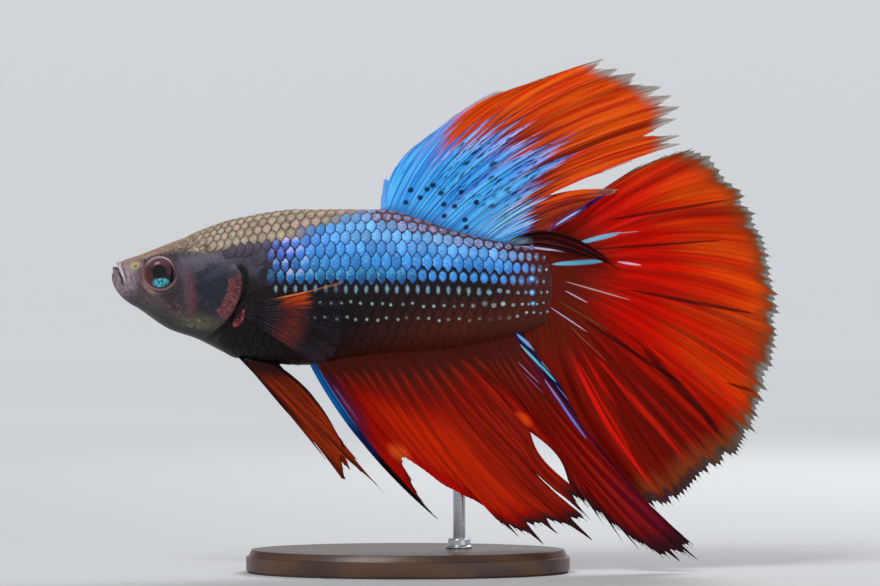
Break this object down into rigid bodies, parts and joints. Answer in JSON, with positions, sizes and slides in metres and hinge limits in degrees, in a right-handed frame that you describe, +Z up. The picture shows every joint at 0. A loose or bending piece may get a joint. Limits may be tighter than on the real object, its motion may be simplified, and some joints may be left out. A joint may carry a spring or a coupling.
{
  "type": "betta fish",
  "caption": "Life-size still model of a male betta fish with spread red and blue fins, held by one rod over a flat oval base.",
  "frame": {"origin": "middle of the whole model's footprint, at the level of the stand's underside", "axes": "+Z up, -X out of the fish's snout, -Y to the fish's left side"},
  "size_m": [0.0705, 0.022, 0.054],
  "materials": {
    "skin": "satin scales, metallic blue over dark brown",
    "head": "satin dark grey-brown skin with golden scales on the nape",
    "gill": "satin blue-black skin",
    "eye": "polished dark eye",
    "dorsal": "satin fin, blue at its root and red-orange outside",
    "fin": "satin red fin with dark translucent edge",
    "pectoral": "clear thin fin with a red band",
    "wood": "satin dark wood",
    "steel": "satin steel"
  },
  "bodies": {
    "root": {"head": "head", "lower_jaw": "head", "gill_cover_left": "gill", "gill_cover_right": "gill", "eye_left": "eye", "eye_right": "eye", "trunk_front": "skin", "trunk_rear": "skin", "tail_stem": "skin", "dorsal_fin": "dorsal", "caudal_fin_upper": "fin", "caudal_fin_middle": "fin", "caudal_fin_lower": "fin", "anal_fin_front": "fin", "anal_fin_rear": "fin", "pelvic_fin_left": "fin", "pelvic_fin_right": "fin", "pectoral_fin_left": "pectoral", "pectoral_fin_right": "pectoral", "stand_base": "wood", "stand_rod": "steel", "stand_collar": "steel"}
  },
  "joints": []
}
